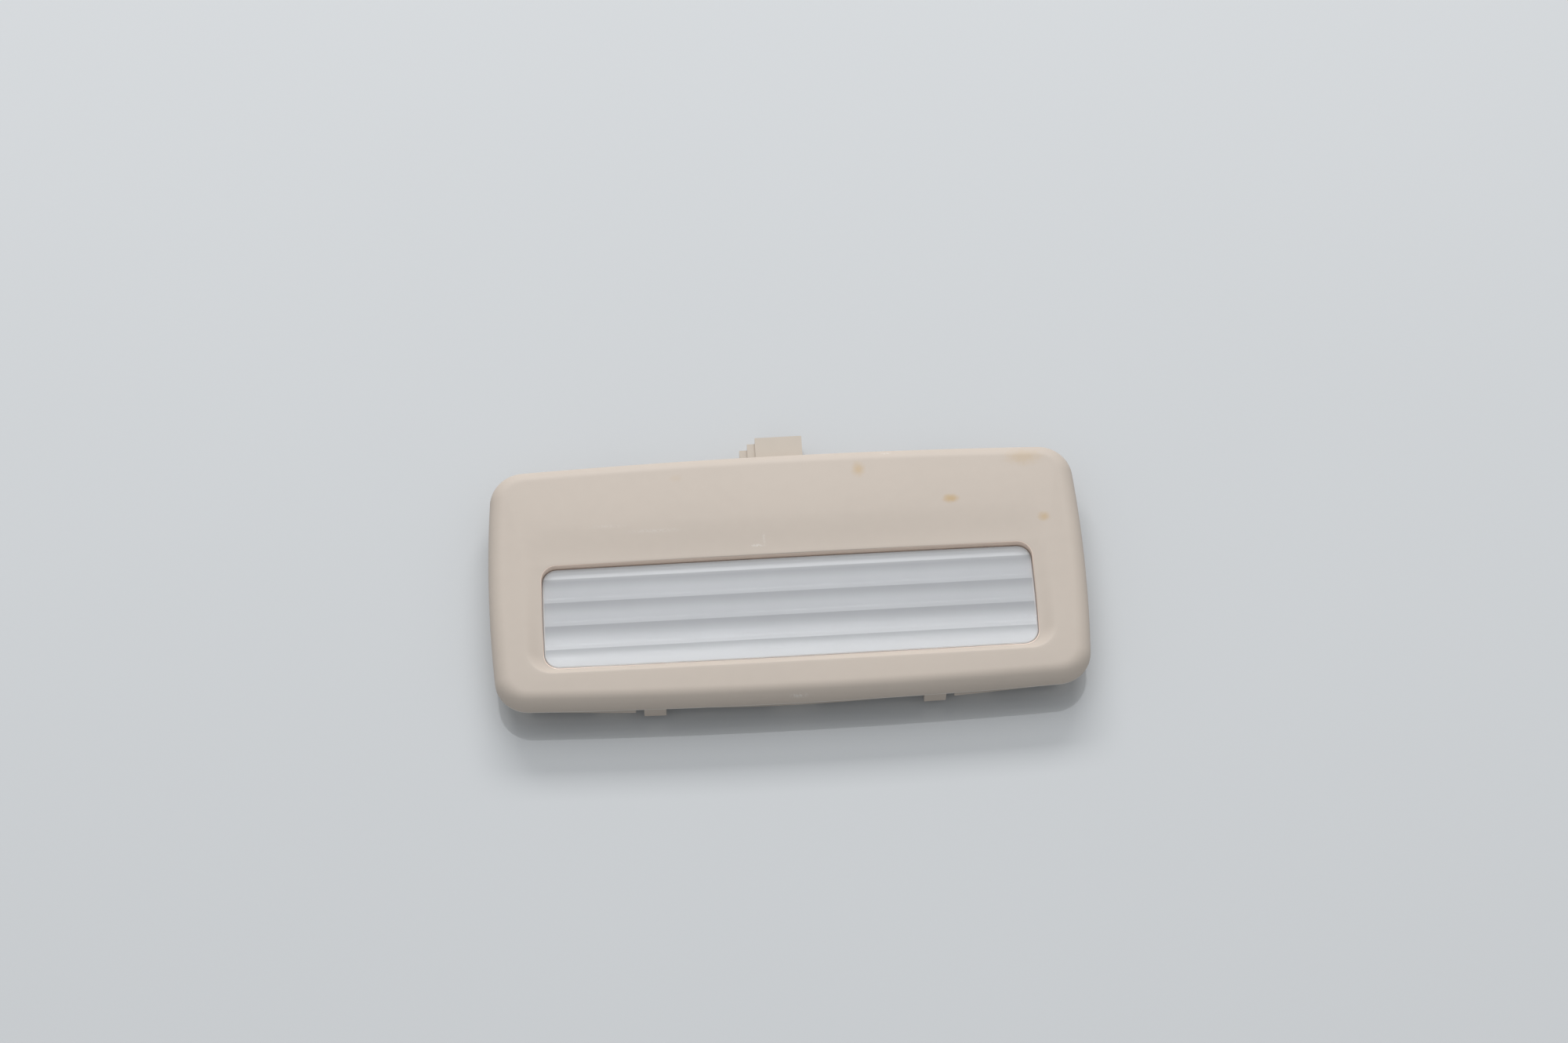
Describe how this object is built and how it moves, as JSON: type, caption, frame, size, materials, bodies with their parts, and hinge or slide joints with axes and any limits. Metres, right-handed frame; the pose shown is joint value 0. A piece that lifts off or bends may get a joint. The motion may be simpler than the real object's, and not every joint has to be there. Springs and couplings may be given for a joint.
{
  "type": "car interior light",
  "caption": "Slim moulded interior light for a car's roof lining, with a bowed beige bezel, a fluted clear lens set low in its face, and a plug socket at the far edge.",
  "frame": {"origin": "on the flat back of the tub, under the middle of the bezel", "axes": "+X along the length of the bezel, +Y towards the side with the plug socket, +Z out of the lit face"},
  "size_m": [0.11, 0.0554, 0.0093],
  "materials": {
    "bezel_plastic": "fine-grained beige moulding, satin from handling",
    "lens_clear": "clear moulding, polished outside, fluted inside",
    "housing_plastic": "plain beige moulding",
    "bright_sheet": "bright rolled sheet",
    "bulb_glass": "clear tube",
    "cap_metal": "plated cap",
    "bulb_wire": "drawn wire",
    "contact_brass": "stamped strip",
    "spring_steel": "folded spring strip"
  },
  "bodies": {
    "root": {"bezel": "bezel_plastic", "lens": "lens_clear", "rear_housing": "housing_plastic", "reflector": "bright_sheet", "heat_shield": "bright_sheet", "bulb_glass": "bulb_glass", "bulb_cap_left": "cap_metal", "bulb_cap_right": "cap_metal", "bulb_filament": "bulb_wire", "bulb_leads": "bulb_wire", "contact_live": "contact_brass", "contact_earth": "contact_brass", "retaining_clip_left": "spring_steel", "retaining_clip_right": "spring_steel"}
  },
  "joints": []
}
